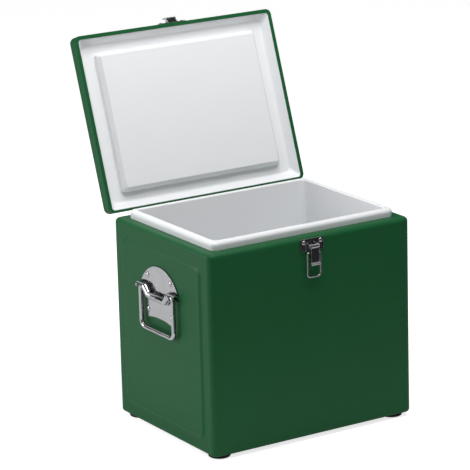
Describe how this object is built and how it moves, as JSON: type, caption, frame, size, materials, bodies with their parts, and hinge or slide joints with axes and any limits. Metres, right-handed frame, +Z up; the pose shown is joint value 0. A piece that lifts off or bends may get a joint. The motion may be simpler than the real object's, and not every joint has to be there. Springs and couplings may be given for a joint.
{
  "type": "picnic cooler",
  "caption": "Rectangular insulated metal cooler box with a white lined tub, a hinged lid that stands open, a front draw latch and a drop bail handle on each end.",
  "frame": {"origin": "on the floor plane under the middle of the case, level with the four foot treads", "axes": "+Z up, +Y to the rear where the hinges are, -Y to the latch, +X to the right-hand end seen from the front"},
  "size_m": [0.332, 0.3516, 0.5057],
  "materials": {
    "green_paint": "gloss",
    "white_liner": "satin",
    "foam": "matte",
    "rubber": "matte",
    "bright_steel": "polished",
    "latch_steel": "satin",
    "zinc_steel": "satin"
  },
  "bodies": {
    "case": {"case_shell": "green_paint", "base_pan": "green_paint", "case_foam": "foam", "case_liner": "white_liner", "foot_front_left": "rubber", "foot_front_right": "rubber", "foot_rear_left": "rubber", "foot_rear_right": "rubber", "foot_screws": "zinc_steel", "handle_plate_left": "bright_steel", "handle_plate_right": "bright_steel", "handle_rivets_left": "bright_steel", "handle_rivets_right": "bright_steel", "latch_plate": "latch_steel", "latch_rivets": "latch_steel", "latch_lever_pin": "latch_steel", "hinge_leaf_body_left": "zinc_steel", "hinge_leaf_body_right": "zinc_steel", "hinge_pin_left": "zinc_steel", "hinge_pin_right": "zinc_steel", "hinge_rivets_body": "zinc_steel"},
    "lid": {"lid_shell": "green_paint", "lid_liner": "white_liner", "lid_foam": "foam", "catch_plate": "latch_steel", "catch_rivets": "latch_steel", "hinge_leaf_lid_left": "zinc_steel", "hinge_leaf_lid_right": "zinc_steel", "hinge_rivets_lid": "zinc_steel"},
    "lever": {"latch_lever": "latch_steel"},
    "loop": {"latch_loop": "latch_steel"},
    "bail_left": {"handle_bail_left": "bright_steel"},
    "bail_right": {"handle_bail_right": "bright_steel"}
  },
  "joints": [
    {"name": "lid_hinge", "type": "hinge", "parent": "case", "child": "lid", "pos_m": [0, 0.1236, 0.2716], "axis": [-1, 0, 0], "range_deg": [-109.2, 0]},
    {"name": "latch_lever_pivot", "type": "hinge", "parent": "case", "child": "lever", "pos_m": [0, -0.1243, 0.261], "axis": [-1, 0, 0], "range_deg": [0, 110]},
    {"name": "latch_loop_pivot", "type": "hinge", "parent": "lever", "child": "loop", "pos_m": [0, -0.1235, 0.2525], "axis": [1, 0, 0], "range_deg": [-180, 0]},
    {"name": "bail_left_pivot", "type": "hinge", "parent": "case", "child": "bail_left", "pos_m": [-0.16145, 0, 0.2002], "axis": [0, 1, 0], "range_deg": [0, 90]},
    {"name": "bail_right_pivot", "type": "hinge", "parent": "case", "child": "bail_right", "pos_m": [0.16145, 0, 0.2002], "axis": [0, -1, 0], "range_deg": [0, 90]}
  ]
}
